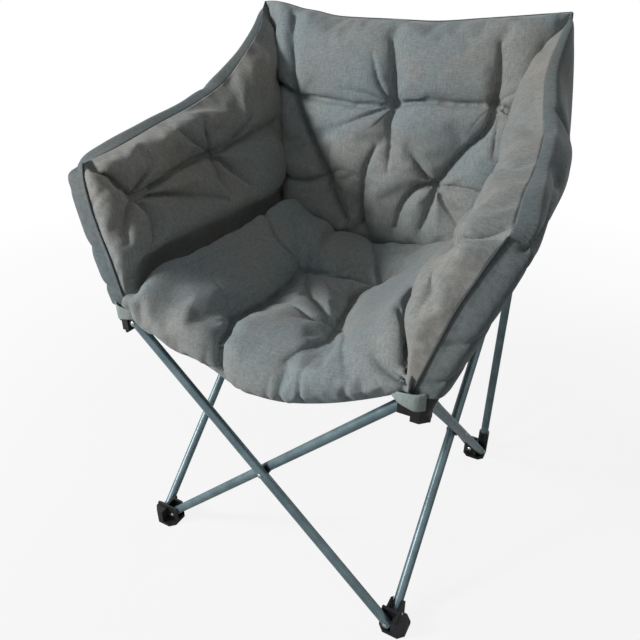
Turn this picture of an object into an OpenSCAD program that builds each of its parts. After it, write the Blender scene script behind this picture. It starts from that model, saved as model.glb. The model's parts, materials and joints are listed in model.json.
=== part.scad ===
// Folding padded armchair on a four-sided scissor frame of round steel tube.
// Origin: on the floor, midway between the four feet. +Z is up and -Y is the front.
// Left and right are as someone who faces the front sees them, so left is -X.
// Each corner stands on a foot. A front corner has a hub above its foot, a rear corner a slider on an upright.

/* [Frame] */
// Distance between the foot centres, the same from side to side and from front to back
frame_w = 494; // [440:1:560]
// Height of the lower pivots above the floor
pivot_h = 17; // [15:0.5:24]
// Height of the upper pivots above the lower pivots
rise = 441; // [380:1:480]
// Distance from a corner's centre to the pivots beside it
pivot_in = 15; // [14:0.5:18]
// Outside diameter of every frame tube
tube_d = 16; // [14:0.5:18]
// Wall of every frame tube
tube_wall = 1.2; // [0.8:0.1:2]
// Length of tube beyond its end pivot
tube_tail = 6; // [5:0.5:7]
// Distance between the two tubes of a crossing
tube_gap = 3; // [2:0.25:4]
// Shank diameter of the rivets
rivet_d = 5; // [4:0.25:6]
// Diameter of a rivet's head
rivet_head_d = 9; // [8:0.25:11]
// Height of a rivet's head
rivet_head_h = 1.8; // [1.2:0.1:2.5]
// Height of the uprights' tops above the floor
upright_top = 858; // [780:1:900]

/* [Feet and hubs] */
// Height of a foot
foot_h = 36; // [33:1:44]
// Reach of a foot outside its corner's centre
foot_out = 18; // [17:0.5:22]
// Reach of a foot inside its corner's centre
foot_reach = 28; // [26:0.5:32]
// Corner cut of a foot in plan
foot_chamfer = 10; // [6:0.5:12]
// Thickness of a foot's walls
foot_wall = 4; // [3:0.25:5]
// Height of the socket round an upright or an arm post
socket_h = 56; // [50:1:64]
// Wall of the socket round an upright or an arm post
socket_wall = 3; // [2.5:0.25:4]

/* [Arm posts] */
// Reach of an arm post's top outside its foot
post_spread = 81; // [50:1:95]
// Reach of an arm post's top behind its foot
post_back = 25; // [0:1:40]
// Height of the arm posts' tops above the floor
post_top = 664; // [600:1:690]

/* [Padding] */
// Height of the back pad's top corners above the uprights' tops
back_over_upright = 41; // [33:1:80]
// Reach of the back pad's top corners beyond the uprights' middle lines
back_flare = 27; // [20:1:40]
// Thickness of the back pad at its middle
back_thick = 66; // [50:1:80]
// Thickness of the pads at their edges
edge_thick = 26; // [20:1:34]
// Thickness of the seat pad at its middle
seat_thick = 84; // [60:1:100]
// Depth that the seat's middle sags below its corners
seat_sag = 82; // [50:1:100]
// Height that the seat pad's sides swell up against the arms
seat_side_rise = 66; // [30:1:80]
// Height that the seat pad swells up against the back
seat_rear_rise = 26; // [10:1:40]
// Thickness of the arm pads at their middle
arm_thick = 50; // [40:1:64]
// Height of the arm pads' front corners above the arm posts' tops
arm_over_post = 29; // [22:1:50]
// Depth of the sewn tufts
tuft_deep = 22; // [10:1:30]
// Radius of the dimple round a sewn tuft
tuft_r = 42; // [30:1:60]
// Thickness of the cover's outer cloth
cloth = 2; // [1.2:0.1:3]

/* [Hidden] */
$fn = 48;

// Colours, as the photograph shows them
tube_colour = "#70898f";
plastic_colour = "#141416";
rivet_colour = "#b9bfc0";
pad_colour = "#7b8486";
panel_colour = "#3d4544";
strap_colour = "#93a6a3";

// Clearances
run_gap = 0.05;
slider_gap = 0.3;
slot_gap = 1;
cloth_gap = 0.5;
panel_gap = 1.3;
over = 1;

// Frame, worked out from the driving sizes
tube_r = tube_d / 2;
rivet_r = rivet_d / 2;
corner = frame_w / 2;
leg_off = (tube_d + tube_gap) / 2;
leg_run = frame_w - 2 * pivot_in;
leg_len = norm([leg_run, rise]);
leg_tilt = atan2(rise, leg_run);
hub_z = pivot_h + rise;
tail_r = norm([tube_tail, tube_r]);
slot_end = pivot_in - tail_r - slot_gap / 2;
slot_floor = pivot_h - tail_r - slot_gap / 2;
slot_half = tube_r + slot_gap / 2;
post_in = foot_out - socket_wall - tube_r;
block_top = hub_z + pivot_h;
post_rivet_z = socket_h - 2 * rivet_d;
cap_wall = 1.5;
cap_skirt = 18;

// Corners: sign of x, sign of y, turn of the lower block about the vertical
FRONT_LEFT = [-1, -1, 0];
FRONT_RIGHT = [1, -1, 90];
REAR_RIGHT = [1, 1, 180];
REAR_LEFT = [-1, 1, 270];

module at_corner(c, z) {
    translate([c[0] * corner, c[1] * corner, z]) children();
}

// A lower block's own frame: +X and +Y point to the neighbouring corners
module lower(c) {
    at_corner(c, 0) rotate([0, 0, c[2]]) children();
}

// An upper block is a lower block turned over about its own diagonal
module upper(c) {
    at_corner(c, block_top) rotate([0, 0, c[2]]) rotate([0, 0, 90]) rotate([180, 0, 0]) children();
}

function chamfered_square(low, high, cut) = [
    [low + cut, low], [high - cut, low], [high, low + cut], [high, high - cut],
    [high - cut, high], [low + cut, high], [low, high - cut], [low, low + cut]
];

// One moulded block: a plate, a slot for the inner tube and an open side for the outer tube
module block_body() {
    intersection() {
        linear_extrude(foot_h) polygon(chamfered_square(-foot_out, foot_reach, foot_chamfer));
        union() {
            linear_extrude(slot_floor)
                polygon(chamfered_square(-foot_out, foot_reach, foot_chamfer));
            translate([-foot_out, leg_off - slot_half - foot_wall, 0])
                cube([foot_out + foot_reach, foot_wall, foot_h]);
            translate([slot_end - foot_wall, leg_off + slot_half, 0])
                cube([foot_reach - slot_end + foot_wall, foot_wall, foot_h]);
            translate([-leg_off + slot_half, leg_off - slot_half - foot_wall, 0])
                cube([slot_end + leg_off - slot_half, foot_reach + foot_out, foot_h]);
            translate([-foot_out, -foot_out, 0])
                cube([foot_out + slot_end, foot_out + slot_end, foot_h - foot_wall]);
        }
    }
}

module block_cuts() {
    // Open side for the outer tube
    translate([-foot_out - over, slot_end, slot_floor])
        cube([foot_out + over - leg_off + slot_half, foot_reach + over, foot_h]);
    // Bore for the inner tube's rivet
    translate([pivot_in, -foot_out - over, pivot_h])
        rotate([-90, 0, 0]) cylinder(r = rivet_r + run_gap, h = foot_out + foot_reach + 2 * over);
    // Bore for the outer tube's rivet
    translate([-leg_off, pivot_in, pivot_h])
        rotate([0, 90, 0]) cylinder(r = rivet_r + run_gap, h = leg_off + slot_end + over);
}

module domed_head() {
    dome_r = (rivet_head_d * rivet_head_d / 4 + rivet_head_h * rivet_head_h) / (2 * rivet_head_h);
    intersection() {
        translate([0, 0, rivet_head_h - dome_r]) sphere(r = dome_r);
        cylinder(d = rivet_head_d, h = rivet_head_h);
    }
}

// A rivet along +Z from z = 0, with a head outside each end that is asked for
module rivet(len, far_head) {
    cylinder(r = rivet_r, h = len);
    rotate([180, 0, 0]) domed_head();
    if (far_head) translate([0, 0, len]) domed_head();
}

module block_rivets() {
    color(rivet_colour) {
        translate([pivot_in, leg_off - slot_half - foot_wall, pivot_h])
            rotate([-90, 0, 0]) rivet(2 * slot_half + 2 * foot_wall, true);
        translate([-leg_off - tube_r, pivot_in, pivot_h])
            rotate([0, 90, 0]) rivet(leg_off + tube_r + slot_end - run_gap, false);
    }
}

module front_foot(c) {
    lower(c) color(plastic_colour) difference() {
        block_body();
        block_cuts();
    }
}

module rear_foot(c) {
    lower(c) color(plastic_colour) difference() {
        union() {
            block_body();
            translate([-post_in, -post_in, 0]) cylinder(r = tube_r + socket_wall, h = socket_h);
        }
        block_cuts();
        translate([-post_in, -post_in, slot_floor]) cylinder(r = tube_r + run_gap, h = socket_h);
    }
}

module slider(c) {
    upper(c) color(plastic_colour) difference() {
        union() {
            block_body();
            translate([-post_in, -post_in, 0]) cylinder(r = tube_r + socket_wall, h = socket_h);
        }
        block_cuts();
        translate([-post_in, -post_in, -over])
            cylinder(r = tube_r + slider_gap, h = socket_h + 2 * over);
    }
}

// Arm post: from the hub's outer corner, leaning out and back
post_base = [corner + post_in, -corner - post_in, hub_z];
post_tip = [corner + post_spread, -corner + post_back, post_top];
post_dir = post_tip - post_base;
post_len = norm(post_dir);
post_lean = acos(post_dir[2] / post_len);
post_turn = atan2(post_dir[1], post_dir[0]);

module along_post(side) {
    mirror([side < 0 ? 1 : 0, 0, 0])
        translate(post_base) rotate([0, post_lean, post_turn]) rotate([0, 0, -post_turn]) children();
}

module front_hub(c) {
    color(plastic_colour) difference() {
        union() {
            upper(c) difference() {
                block_body();
                block_cuts();
            }
            along_post(c[0]) cylinder(r = tube_r + socket_wall, h = socket_h);
        }
        along_post(c[0]) cylinder(r = tube_r + run_gap, h = socket_h + over);
        along_post(c[0]) translate([0, 0, post_rivet_z])
            rotate([90, 0, 0]) cylinder(r = rivet_r + run_gap, h = 4 * tube_r, center = true);
    }
}

module front_hub_rivets(c) {
    upper(c) block_rivets();
    color(rivet_colour) along_post(c[0]) translate([0, -tube_r - socket_wall, post_rivet_z])
        rotate([-90, 0, 0]) rivet(2 * (tube_r + socket_wall), true);
}

// Scissor tubes
module leg_tube() {
    color(tube_colour) difference() {
        translate([-tube_tail, 0, 0]) rotate([0, 90, 0])
            cylinder(r = tube_r, h = leg_len + 2 * tube_tail);
        translate([-tube_tail - over, 0, 0]) rotate([0, 90, 0])
            cylinder(r = tube_r - tube_wall, h = leg_len + 2 * (tube_tail + over));
        for (x = [0, leg_len / 2, leg_len]) {
            translate([x, 0, 0]) rotate([90, 0, 0])
                cylinder(r = rivet_r + run_gap, h = 2 * tube_d, center = true);
        }
    }
}

// The inner tube of a side rises from the side's first corner, the outer one from its second
module inner_leg(turn) {
    rotate([0, 0, turn]) translate([-leg_run / 2, -corner + leg_off, pivot_h])
        rotate([0, -leg_tilt, 0]) leg_tube();
}

module outer_leg(turn) {
    rotate([0, 0, turn]) translate([leg_run / 2, -corner - leg_off, pivot_h])
        rotate([0, leg_tilt, 0]) mirror([1, 0, 0]) leg_tube();
}

// Crossing parts, in the frame of the front side
module at_crossing(turn) {
    rotate([0, 0, turn]) translate([0, -corner, pivot_h + rise / 2]) children();
}

module cross_spacer(turn) {
    at_crossing(turn) color(plastic_colour) difference() {
        translate([0, -tube_gap / 2 + run_gap, 0]) rotate([-90, 0, 0])
            cylinder(r = tube_r, h = leg_off);
        translate([0, leg_off, 0]) rotate([0, -leg_tilt, 0]) rotate([0, 90, 0])
            cylinder(r = tube_r + run_gap, h = 2 * tube_d, center = true);
        rotate([90, 0, 0]) cylinder(r = rivet_r + run_gap, h = 2 * tube_d, center = true);
    }
}

module cross_rivet(turn) {
    at_crossing(turn) color(rivet_colour) translate([0, -leg_off - tube_r, 0])
        rotate([-90, 0, 0]) rivet(2 * (leg_off + tube_r), true);
}

// Uprights and arm posts
module upright(c) {
    at_corner(c, 0) translate([c[0] * post_in, c[1] * post_in, slot_floor])
        color(tube_colour) difference() {
            cylinder(r = tube_r, h = upright_top - slot_floor);
            translate([0, 0, -over])
                cylinder(r = tube_r - tube_wall, h = upright_top - slot_floor + 2 * over);
        }
}

module tube_cap() {
    color(plastic_colour) difference() {
        translate([0, 0, -cap_skirt]) cylinder(r = tube_r + cap_wall, h = cap_skirt + cap_wall);
        translate([0, 0, -cap_skirt - over]) cylinder(r = tube_r + run_gap, h = cap_skirt + over);
    }
}

module upright_cap(c) {
    at_corner(c, upright_top) translate([c[0] * post_in, c[1] * post_in, 0]) tube_cap();
}

module arm_post(side) {
    color(tube_colour) along_post(side) difference() {
        cylinder(r = tube_r, h = post_len);
        translate([0, 0, -over]) cylinder(r = tube_r - tube_wall, h = post_len + 2 * over);
        translate([0, 0, post_rivet_z])
            rotate([90, 0, 0]) cylinder(r = rivet_r + run_gap, h = 2 * tube_d, center = true);
    }
}

module arm_post_cap(side) {
    along_post(side) translate([0, 0, post_len]) tube_cap();
}

// Soft parts
// A closed skin between two grids of points, front and back, with the same counts of rows and columns.
// Seen from the front, columns run to the right and rows run up.
function flat_list(grid) = [for (row = grid) for (p = row) p];
function quad(a, b, c, d) = [[a, b, c], [a, c, d]];

module skin(front, back) {
    rows = len(front);
    cols = len(front[0]);
    n = rows * cols;
    last = n - cols;
    faces = [
        for (r = [0 : rows - 2]) for (c = [0 : cols - 2]) let (k = r * cols + c)
            for (f = quad(k, k + cols, k + cols + 1, k + 1)) f,
        for (r = [0 : rows - 2]) for (c = [0 : cols - 2]) let (k = n + r * cols + c)
            for (f = quad(k, k + 1, k + cols + 1, k + cols)) f,
        for (c = [0 : cols - 2]) for (f = quad(c, c + 1, n + c + 1, n + c)) f,
        for (c = [0 : cols - 2]) for (f = quad(last + c + 1, last + c, n + last + c, n + last + c + 1)) f,
        for (r = [0 : rows - 2]) let (k = r * cols) for (f = quad(k + cols, k, n + k, n + k + cols)) f,
        for (r = [0 : rows - 2]) let (k = r * cols + cols - 1)
            for (f = quad(k, k + cols, n + k + cols, n + k)) f
    ];
    polyhedron(points = concat(flat_list(front), flat_list(back)), faces = faces);
}

function mix(a, b, t) = a + (b - a) * t;
function steps(n) = [for (i = [0 : n]) i / n];
function smooth(t) = let (u = max(0, min(1, t))) u * u * (3 - 2 * u);
// 0 at both edges, rising quickly to 1 over the middle
function swell(t) = 1 - pow(2 * t - 1, 4);
function bow(t) = 1 - pow(2 * t - 1, 2);
// Depth of the sewn dimples at a place on a pad's face
function dimple(p, places) = tuft_deep * min(1, total([for (q = places) exp(-pow(norm(p - q) / tuft_r, 2))]));
function total(list) = list * [for (x = list) 1];

// Back pad, between the uprights and the sitter
back_y = corner + post_in - tube_r - cap_wall - cloth_gap;
back_top = upright_top + back_over_upright;
shell_y = corner + max(foot_out, leg_off + tube_r + rivet_head_h) + cloth_gap;
back_low = block_top + cloth_gap;
back_low_half_w = corner + post_in;
back_top_half_w = corner + post_in + back_flare;
back_inner_half_w = corner - foot_reach - edge_thick;
back_droop = 26;
back_top_dip = 12;
back_lip_share = 0.965;
back_hem_share = 0.6;
back_hem_end_share = 0.08;
back_tuft_shares = [[-0.63, 0.67], [0.07, 0.66], [0.69, 0.7], [-0.39, 0.32], [0.4, 0.36]];
back_tufts = [for (q = back_tuft_shares)
    [q[0] * back_top_half_w, mix(back_low, back_top, q[1])]];

function back_half_w(t) = mix(back_low_half_w, back_top_half_w, t) - edge_thick / 4 * bow(t);
// The hem droops between the sliders
function back_low_z(s) = back_low
    - back_droop * max(0, 1 - pow((2 * s - 1) * back_low_half_w / back_inner_half_w, 2));
function back_z(s, t) = mix(back_low_z(s), back_top - back_top_dip * bow(s), t);
function back_depth(s, t) = let (x = (2 * s - 1) * back_half_w(t))
    edge_thick + (back_thick - edge_thick) * swell(s) * (1 - pow(t, 5))
        * mix(back_hem_share, 1, min(1, t / back_hem_end_share))
    - dimple([x, back_z(s, t)], back_tufts) * swell(s);

module back_pad() {
    cols = 24;
    rows = 18;
    front = [for (t = steps(rows)) [for (s = steps(cols))
        [(2 * s - 1) * back_half_w(t), back_y - back_depth(s, t), back_z(s, t)]]];
    rear = [for (t = steps(rows)) [for (s = steps(cols))
        [(2 * s - 1) * back_half_w(t), t > back_lip_share ? shell_y - cloth_gap : back_y, back_z(s, t)]]];
    color(pad_colour) skin(front, rear);
}

// Seat pad and its sling, hung between the four upper corners and folding along the line y = 0
seat_half_w = corner - foot_reach - cloth_gap;
seat_front_y = -corner - foot_out;
seat_rear_y = back_y - back_thick - cloth_gap;
sling_rear_y = corner - tube_r;
seat_corner_z = block_top - 2 * cloth;
seat_front_sag_share = 0.88;
seat_rear_sag_share = 0.3;
seat_side_sag_share = 0.26;
seat_front_roll_share = 0.03;
seat_rear_roll_share = 0.88;
seat_shoulder_share = 0.2;
seat_rear_start_share = 0.6;
seat_front_rows = 13;
seat_rear_rows = 10;
sling_rows = 6;
seat_tuft_shares = [[-0.42, 0.76], [0.28, 0.78], [0.22, 0.36]];
seat_tufts = [for (q = seat_tuft_shares) [q[0] * corner, mix(seat_front_y, seat_rear_y, q[1])]];

// Height of the pad's underside
function sling_z(x, y) = let (s = (x / seat_half_w + 1) / 2, t = (y - seat_front_y) / (sling_rear_y - seat_front_y),
        edge_sag = mix(seat_front_sag_share, seat_rear_sag_share, t), side_sag = seat_side_sag_share * bow(t))
    seat_corner_z - seat_sag * (side_sag + bow(s) * (edge_sag + (1 - edge_sag) * bow(t) - side_sag));
function seat_depth(x, y) = let (s = (x / seat_half_w + 1) / 2, t = (y - seat_front_y) / (seat_rear_y - seat_front_y))
    edge_thick + (seat_thick - edge_thick) * swell(s) * swell(mix(seat_front_roll_share, seat_rear_roll_share, t))
    + seat_side_rise * pow(2 * s - 1, 4) * smooth(t / seat_shoulder_share)
    + seat_rear_rise * bow(s) * smooth((t - seat_rear_start_share) / (1 - seat_rear_start_share))
    - dimple([x, y], seat_tufts) * swell(s);

module seat_part(y0, y1, rows) {
    cols = 22;
    xs = [for (s = steps(cols)) mix(-seat_half_w, seat_half_w, s)];
    ys = [for (t = steps(rows)) mix(y0, y1, t)];
    color(pad_colour) skin(
        [for (y = ys) [for (x = xs) [x, y, sling_z(x, y) + seat_depth(x, y)]]],
        [for (y = ys) [for (x = xs) [x, y, sling_z(x, y)]]]
    );
}

module sling_part(y0, y1, rows) {
    cols = 12;
    xs = [for (s = steps(cols)) mix(-seat_half_w, seat_half_w, s)];
    ys = [for (t = steps(rows)) mix(y0, y1, t)];
    color(panel_colour) skin(
        [for (y = ys) [for (x = xs) [x, y, sling_z(x, y) - panel_gap]]],
        [for (y = ys) [for (x = xs) [x, y, sling_z(x, y) - panel_gap - cloth]]]
    );
}

// Arms: the cover's outer side panel stands outside the post, the pad inside it
arm_front_top = post_top + arm_over_post;
arm_y0 = -corner + post_back - tube_r;
arm_y1 = back_y;
side_low_front_x = corner + foot_out + edge_thick;
side_low_rear_x = corner + foot_out + 2 * cloth;
side_top_front_x = corner + post_spread + edge_thick;
side_low_front_z = block_top - cloth;
side_low_rear_z = hub_z - foot_out;
arm_slope_share = 0.54;
arm_sweep_share = 0.6;
arm_bend_share = 1.7;
side_bulge = 9;
cap_rise = cap_wall + (tube_r + cap_wall) * sin(post_lean);
flap_low_z = block_top + 2 * edge_thick;
flap_low_x = corner + cloth;
flap_top_x = side_top_front_x - 2 * edge_thick;
flap_low_y = -shell_y;
lip_h = arm_front_top - post_top - cap_rise - cloth_gap;
post_lean_rate = post_dir[0] / post_dir[2];

function arm_share(y) = max(0, min(1, (y - arm_y0) / (arm_y1 - arm_y0)));
// The arm's top line sweeps up to the back's top corner
function arm_top_z(y) = let (s = arm_share(y)) arm_front_top + (back_top - arm_front_top)
    * (arm_slope_share * s + (1 - arm_slope_share) * smooth((s - arm_sweep_share) / (1 - arm_sweep_share)));
function side_low_x(y) = mix(side_low_front_x, side_low_rear_x, smooth(2 * arm_share(y)));
function side_low_z(y) = mix(side_low_front_z, side_low_rear_z, arm_share(y));
// Seen from above, the arm's top edge runs nearly straight back and then bends in to the back's corner
function side_top_x(y) = mix(side_top_front_x, back_top_half_w, pow(arm_share(y), arm_bend_share));
function side_x(y, z) = let (h = (z - side_low_z(y)) / (arm_top_z(y) - side_low_z(y)))
    mix(side_low_x(y), side_top_x(y), h) + side_bulge * bow(h) * bow(arm_share(y));
function post_x(z) = post_base[0] + post_lean_rate * (z - hub_z);

arm_pad_low = block_top + cloth_gap;
arm_pad_y0 = -corner - foot_out;
arm_pad_crown_share = 0.52;
arm_pad_y1 = back_y - mix(edge_thick, back_thick, arm_pad_crown_share);
arm_in_low = corner - foot_reach;
arm_low_share = 0.37;
arm_front_roll_share = 0.05;
arm_rear_roll_share = 0.97;
notch_y = arm_y0 + 3 * tube_r;
arm_tuft_shares = [[0.14, 0.78], [0.5, 0.9]];
arm_tufts = [for (q = arm_tuft_shares) [mix(arm_y0, arm_y1, q[0]), mix(arm_pad_low, arm_front_top, q[1])]];

// The inner face rises straight beside the seat pad and swells and leans out above it
function arm_inner_x(y, z, s) = let (
        h = (z - arm_pad_low) / (arm_top_z(y) - arm_pad_low),
        g = max(0, (h - arm_low_share) / (1 - arm_low_share)),
        belly = swell(g))
    mix(arm_in_low, mix(flap_top_x, back_top_half_w - edge_thick, arm_share(y)), g)
    - (arm_thick - edge_thick) * swell(mix(arm_front_roll_share, arm_rear_roll_share, s)) * belly
    + dimple([y, z], arm_tufts) * belly;

// The arm pad is cut back round the post, and its top roll lies over the post's cap
module arm_pad(side) {
    notch_cols = 3;
    cols = 16;
    low_rows = 12;
    last_col = notch_cols + cols + 1;
    function y_at(i, z) = i > notch_cols
        ? mix(notch_y + cloth, arm_pad_y1, (i - notch_cols - 1) / cols)
        : mix(max(arm_pad_y0, flap_y(z) + panel_gap), notch_y, i / notch_cols);
    function lip_z(y) = arm_top_z(y) - lip_h;
    function z_at(k, y) = k <= low_rows ? mix(arm_pad_low, lip_z(y), k / low_rows)
        : k == low_rows + 1 ? lip_z(y) + cloth : arm_top_z(y);
    function outer_x(i, k, y, z) = i > notch_cols || k > low_rows
        ? side_x(max(arm_y0, y), z) - panel_gap
        : post_x(z) - tube_r - socket_wall - cloth;
    function place(i, k, inner) = let (
            z = z_at(k, y_at(i, mix(arm_pad_low, arm_front_top, k / low_rows))),
            y = y_at(i, z),
            s = (y - arm_pad_y0) / (arm_pad_y1 - arm_pad_y0))
        [inner ? arm_inner_x(y, z, s) : outer_x(i, k, y, z), y, z];
    color(pad_colour) mirror([side < 0 ? 1 : 0, 0, 0]) skin(
        [for (k = [0 : low_rows + 2]) [for (i = [0 : last_col]) place(i, k, false)]],
        [for (k = [0 : low_rows + 2]) [for (i = [0 : last_col]) place(i, k, true)]]
    );
}

// One side of the cover's outer shell, turned round the front of the arm post
function flap_y(z) = mix(flap_low_y, arm_y0, (z - side_low_front_z) / (arm_front_top - side_low_front_z));
module side_panel(side) {
    rows = 6;
    cols = 14;
    ys = [for (s = steps(cols)) mix(arm_y0, shell_y - 2 * cloth, s)];
    hs = steps(rows);
    function row(h, t) = let (
            zi = mix(flap_low_z, arm_front_top, h),
            zc = mix(side_low_front_z, arm_front_top, h),
            xi = mix(flap_low_x, flap_top_x, h))
        concat(
            [[xi, flap_y(zi) - t, zi], [side_x(arm_y0, zc) + t, flap_y(zc) - t, zc]],
            [for (k = [1 : cols]) let (z = mix(side_low_z(ys[k]), arm_top_z(ys[k]), h))
                [side_x(ys[k], z) + t, ys[k], z]]
        );
    color(panel_colour) mirror([side < 0 ? 1 : 0, 0, 0])
        skin([for (h = hs) row(h, cloth)], [for (h = hs) row(h, 0)]);
}

module back_panel() {
    rows = 8;
    cols = 12;
    low = side_low_rear_z;
    function place(s, t, y) = [(2 * s - 1) * mix(back_low_half_w, back_top_half_w - cloth, t), y,
        mix(low, back_top - back_top_dip * bow(s), t)];
    color(panel_colour) skin(
        [for (t = steps(rows)) [for (s = steps(cols)) place(s, t, shell_y)]],
        [for (t = steps(rows)) [for (s = steps(cols)) place(s, t, shell_y + cloth)]]
    );
}

// Tapered strap that joins the seat's front hem and the arm's lower corner across the hub
strap_w = 24;
strap_tip = 6;
module corner_strap(side) {
    x0 = corner - foot_reach + cloth;
    x1 = corner + foot_out - cloth;
    z0 = block_top - cloth;
    color(strap_colour) mirror([side < 0 ? 1 : 0, 0, 0])
        translate([0, -corner - foot_out - cloth_gap, 0]) rotate([90, 0, 0]) linear_extrude(cloth)
            polygon([[x0, z0], [x1, z0 - strap_tip], [x1, z0 - strap_tip + strap_w], [x0, z0 + strap_tip]]);
}

rear_foot(REAR_LEFT);  // rear_left_foot
rear_foot(REAR_RIGHT);  // rear_right_foot
front_foot(FRONT_LEFT);  // front_left_foot
front_foot(FRONT_RIGHT);  // front_right_foot
lower(REAR_LEFT) block_rivets();  // rear_left_foot_rivets
lower(REAR_RIGHT) block_rivets();  // rear_right_foot_rivets
lower(FRONT_LEFT) block_rivets();  // front_left_foot_rivets
lower(FRONT_RIGHT) block_rivets();  // front_right_foot_rivets
front_hub(FRONT_LEFT);  // front_left_hub
front_hub(FRONT_RIGHT);  // front_right_hub
slider(REAR_LEFT);  // rear_left_slider
slider(REAR_RIGHT);  // rear_right_slider
front_hub_rivets(FRONT_LEFT);  // front_left_hub_rivets
front_hub_rivets(FRONT_RIGHT);  // front_right_hub_rivets
upper(REAR_LEFT) block_rivets();  // rear_left_slider_rivets
upper(REAR_RIGHT) block_rivets();  // rear_right_slider_rivets
inner_leg(0);  // front_leg_inner
outer_leg(0);  // front_leg_outer
inner_leg(90);  // right_leg_inner
outer_leg(90);  // right_leg_outer
inner_leg(180);  // rear_leg_inner
outer_leg(180);  // rear_leg_outer
inner_leg(270);  // left_leg_inner
outer_leg(270);  // left_leg_outer
cross_spacer(0);  // front_cross_spacer
cross_spacer(90);  // right_cross_spacer
cross_spacer(180);  // rear_cross_spacer
cross_spacer(270);  // left_cross_spacer
cross_rivet(0);  // front_cross_rivet
cross_rivet(90);  // right_cross_rivet
cross_rivet(180);  // rear_cross_rivet
cross_rivet(270);  // left_cross_rivet
upright(REAR_LEFT);  // left_upright
upright(REAR_RIGHT);  // right_upright
upright_cap(REAR_LEFT);  // left_upright_cap
upright_cap(REAR_RIGHT);  // right_upright_cap
arm_post(-1);  // left_arm_post
arm_post(1);  // right_arm_post
arm_post_cap(-1);  // left_arm_post_cap
arm_post_cap(1);  // right_arm_post_cap
back_pad();
seat_part(seat_front_y, 0, seat_front_rows);  // seat_pad_front
seat_part(cloth_gap, seat_rear_y, seat_rear_rows);  // seat_pad_rear
arm_pad(-1);  // left_arm_pad
arm_pad(1);  // right_arm_pad
back_panel();
side_panel(-1);  // left_side_panel
side_panel(1);  // right_side_panel
sling_part(seat_front_y, 0, sling_rows);  // seat_sling_front
sling_part(cloth_gap, sling_rear_y, sling_rows);  // seat_sling_rear
corner_strap(-1);  // left_corner_strap
corner_strap(1);  // right_corner_strap
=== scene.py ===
import json
import math

import bpy
import numpy as np
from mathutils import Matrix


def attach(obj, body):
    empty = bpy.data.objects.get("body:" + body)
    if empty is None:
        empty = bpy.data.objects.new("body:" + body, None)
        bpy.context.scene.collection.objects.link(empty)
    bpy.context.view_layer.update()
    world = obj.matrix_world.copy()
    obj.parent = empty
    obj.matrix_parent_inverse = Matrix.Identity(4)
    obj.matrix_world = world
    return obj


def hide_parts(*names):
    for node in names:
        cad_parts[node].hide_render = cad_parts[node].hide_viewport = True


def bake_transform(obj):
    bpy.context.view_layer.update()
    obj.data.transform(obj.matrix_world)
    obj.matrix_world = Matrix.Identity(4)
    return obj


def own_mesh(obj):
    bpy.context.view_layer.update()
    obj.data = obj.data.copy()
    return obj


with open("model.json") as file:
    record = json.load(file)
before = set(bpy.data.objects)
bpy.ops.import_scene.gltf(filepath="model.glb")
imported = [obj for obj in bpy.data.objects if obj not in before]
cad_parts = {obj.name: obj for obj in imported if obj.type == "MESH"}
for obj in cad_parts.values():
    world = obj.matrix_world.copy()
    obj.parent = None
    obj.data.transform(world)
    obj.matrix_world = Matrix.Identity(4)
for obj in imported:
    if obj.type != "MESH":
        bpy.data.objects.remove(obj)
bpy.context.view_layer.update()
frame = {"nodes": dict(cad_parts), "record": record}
MM = 0.001


# Camera, at the photograph's viewing angle and distance
eye = bpy.data.objects.new("eye", bpy.data.cameras.new("eye"))
bpy.context.scene.collection.objects.link(eye)
eye.data.sensor_width = 36
eye.data.lens = 32.85
eye.location = (0.4268, -0.8395, 0.9152)
eye.rotation_euler = (math.radians(61.3), 0, math.radians(28.7))
bpy.context.scene.camera = eye
bpy.context.scene.view_settings.view_transform = "Standard"


# Materials
def linear(code):
    """An sRGB hex colour as linear red, green, blue and alpha."""
    parts = [int(code[k:k + 2], 16) / 255 for k in (1, 3, 5)]
    return tuple(c / 12.92 if c <= 0.04045 else ((c + 0.055) / 1.055) ** 2.4 for c in parts) + (1,)


def add(tree, kind, links=None, inputs=None, **settings):
    """Adds a node with its settings, its input values and the links that feed it."""
    made = tree.nodes.new(kind)
    for name, value in settings.items():
        setattr(made, name, value)
    for name, value in (inputs or {}).items():
        made.inputs[name].default_value = value
    for name, source in (links or {}).items():
        tree.links.new(source, made.inputs[name])
    return made


def new_material(name, **values):
    """A material with one shader, whose even values are set on its own sockets."""
    made = bpy.data.materials.new(name)
    made.use_nodes = True
    shader = made.node_tree.nodes["Principled BSDF"]
    for socket, value in values.items():
        shader.inputs[socket.replace("_", " ")].default_value = value
    return made, made.node_tree, shader


def two_tones(tree, source, low, high):
    """Turns a value into a colour that goes from one tone to the other, each given as (value, hex colour)."""
    share = add(tree, "ShaderNodeMapRange", {"Value": source},
                {"From Min": low[0], "From Max": high[0]}).outputs["Result"]
    return add(tree, "ShaderNodeMix", {0: share}, {6: linear(low[1]), 7: linear(high[1])},
               data_type="RGBA").outputs[2]


def pattern_scale(size_mm):
    """Scale of a noise whose spots are about size_mm across."""
    return 1 / (size_mm * MM)


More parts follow.
